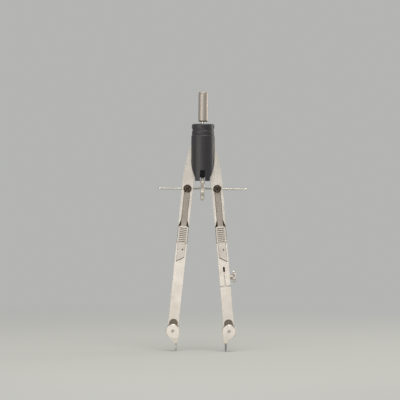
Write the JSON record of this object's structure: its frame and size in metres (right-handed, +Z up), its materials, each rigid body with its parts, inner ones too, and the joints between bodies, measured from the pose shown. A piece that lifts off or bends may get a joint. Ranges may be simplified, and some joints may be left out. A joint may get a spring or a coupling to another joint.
{
  "type": "bow compass",
  "caption": "Drawing compass with geared legs opened by a centre wheel on a cross screw, quick-release levers, jointed needle and lead points, and a slim nickel handle.",
  "frame": {"origin": "on the paper, midway between the needle's and the lead's points", "axes": "+Z up along the handle, +X towards the lead leg, -Y towards the front with the levers"},
  "size_m": [0.0582, 0.016, 0.17],
  "materials": {
    "polished_nickel": "polished nickel plate",
    "satin_nickel": "satin nickel plate",
    "lever_nickel": "satin nickel plate, slightly darker",
    "black_plastic": "moulded, low gloss",
    "blackened_steel": "blackened steel",
    "steel": "bright steel",
    "brass": "turned",
    "graphite": "dull graphite"
  },
  "bodies": {
    "head": {"head": "black_plastic", "handle_insert": "brass", "handle_stem": "steel", "handle": "polished_nickel", "left_pivot_pin": "steel", "right_pivot_pin": "steel", "pivot_washers": "brass"},
    "left_leg": {"left_leg": "satin_nickel", "left_lever_pin": "steel"},
    "left_lever": {"left_release_lever": "lever_nickel", "left_lever_spring": "steel", "left_lever_rivet": "blackened_steel"},
    "left_nut": {"left_spindle_nut": "lever_nickel"},
    "left_half_nut": {"left_half_nut": "blackened_steel"},
    "right_leg": {"right_leg": "satin_nickel", "right_lever_pin": "steel"},
    "right_lever": {"right_release_lever": "lever_nickel", "right_lever_spring": "steel", "right_lever_rivet": "blackened_steel"},
    "right_nut": {"right_spindle_nut": "lever_nickel"},
    "right_half_nut": {"right_half_nut": "blackened_steel"},
    "spindle_travel": {"spindle_stops": "steel"},
    "spindle": {"spindle": "steel", "thumb_wheel": "polished_nickel"},
    "needle_knee": {"needle_knee": "satin_nickel", "needle_knee_pin": "lever_nickel", "needle_clamp_screw": "steel"},
    "needle": {"needle": "steel"},
    "lead_insert": {"lead_insert": "satin_nickel"},
    "clamp_screw": {"insert_clamp_screw": "polished_nickel"},
    "lead_knee": {"lead_knee": "satin_nickel", "lead_knee_pin": "lever_nickel", "lead_clamp_screw": "steel"},
    "lead": {"lead": "graphite"}
  },
  "joints": [
    {"name": "left_leg_open", "type": "hinge", "parent": "head", "child": "left_leg", "pos_m": [-0.0038, 0, 0.1413], "axis": [0, 1, 0], "range_deg": [-5.35, 19.35]},
    {"name": "right_leg_open", "type": "hinge", "parent": "head", "child": "right_leg", "pos_m": [0.0038, 0, 0.1413], "axis": [0, -1, 0], "range_deg": [-5.4, 19.4]},
    {"name": "left_nut_swivel", "type": "hinge", "parent": "left_leg", "child": "left_nut", "pos_m": [-0.00973, 0, 0.1066], "axis": [0, -1, 0], "range_deg": [-5.4, 19.4]},
    {"name": "right_nut_swivel", "type": "hinge", "parent": "right_leg", "child": "right_nut", "pos_m": [0.00973, 0, 0.1066], "axis": [0, 1, 0], "range_deg": [-5.4, 19.4]},
    {"name": "spindle_slide", "type": "slide", "parent": "left_nut", "child": "spindle_travel", "axis": [1, 0, 0], "range_m": [-0.0033, 0.0114]},
    {"name": "wheel_turn", "type": "hinge", "parent": "spindle_travel", "child": "spindle", "pos_m": [0, 0, 0.1066], "axis": [1, 0, 0], "range_deg": [-1410, 5070]},
    {"name": "left_lever_press", "type": "hinge", "parent": "left_leg", "child": "left_lever", "pos_m": [-0.01121, -0.00115, 0.09077], "axis": [0.9956, 0, -0.0932], "range_deg": [0, 2.2], "stiffness_Nm_per_rad": 0.586, "springref_deg": -2.2},
    {"name": "left_half_nut_lift", "type": "slide", "parent": "left_nut", "child": "left_half_nut", "axis": [0, -1, 0], "range_m": [0, 0.00062]},
    {"name": "right_lever_press", "type": "hinge", "parent": "right_leg", "child": "right_lever", "pos_m": [0.01121, -0.00115, 0.09077], "axis": [0.9956, 0, 0.0932], "range_deg": [0, 2.2], "stiffness_Nm_per_rad": 0.586, "springref_deg": -2.2},
    {"name": "right_half_nut_lift", "type": "slide", "parent": "right_nut", "child": "right_half_nut", "axis": [0, -1, 0], "range_m": [0, 0.00062]},
    {"name": "needle_knee_bend", "type": "hinge", "parent": "left_leg", "child": "needle_knee", "pos_m": [-0.01846, 0, 0.01341], "axis": [0, -1, 0], "range_deg": [-30, 35]},
    {"name": "needle_slide", "type": "slide", "parent": "needle_knee", "child": "needle", "axis": [0, 0, -1], "range_m": [0, 0.003]},
    {"name": "insert_slide", "type": "slide", "parent": "right_leg", "child": "lead_insert", "axis": [0.0932, 0, -0.9956], "range_m": [0, 0.009]},
    {"name": "clamp_screw_turn", "type": "hinge", "parent": "right_leg", "child": "clamp_screw", "pos_m": [0.01864, 0, 0.04898], "axis": [0.9956, 0, 0.0932], "range_deg": [0, 180]},
    {"name": "lead_knee_bend", "type": "hinge", "parent": "lead_insert", "child": "lead_knee", "pos_m": [0.01846, 0, 0.01341], "axis": [0, 1, 0], "range_deg": [-30, 35]},
    {"name": "lead_slide", "type": "slide", "parent": "lead_knee", "child": "lead", "axis": [0, 0, -1], "range_m": [0, 0.003]}
  ],
  "couplings": [
    {"joint": "right_leg_open", "follows": "left_leg_open", "ratio": 1},
    {"joint": "left_nut_swivel", "follows": "left_leg_open", "ratio": 1},
    {"joint": "right_nut_swivel", "follows": "left_leg_open", "ratio": 1},
    {"joint": "spindle_slide", "follows": "left_leg_open", "m_per_rad": 0.033295},
    {"joint": "wheel_turn", "follows": "left_leg_open", "ratio": 261.5},
    {"joint": "left_half_nut_lift", "follows": "left_lever_press", "m_per_rad": 0.0159},
    {"joint": "right_half_nut_lift", "follows": "right_lever_press", "m_per_rad": 0.0159}
  ]
}
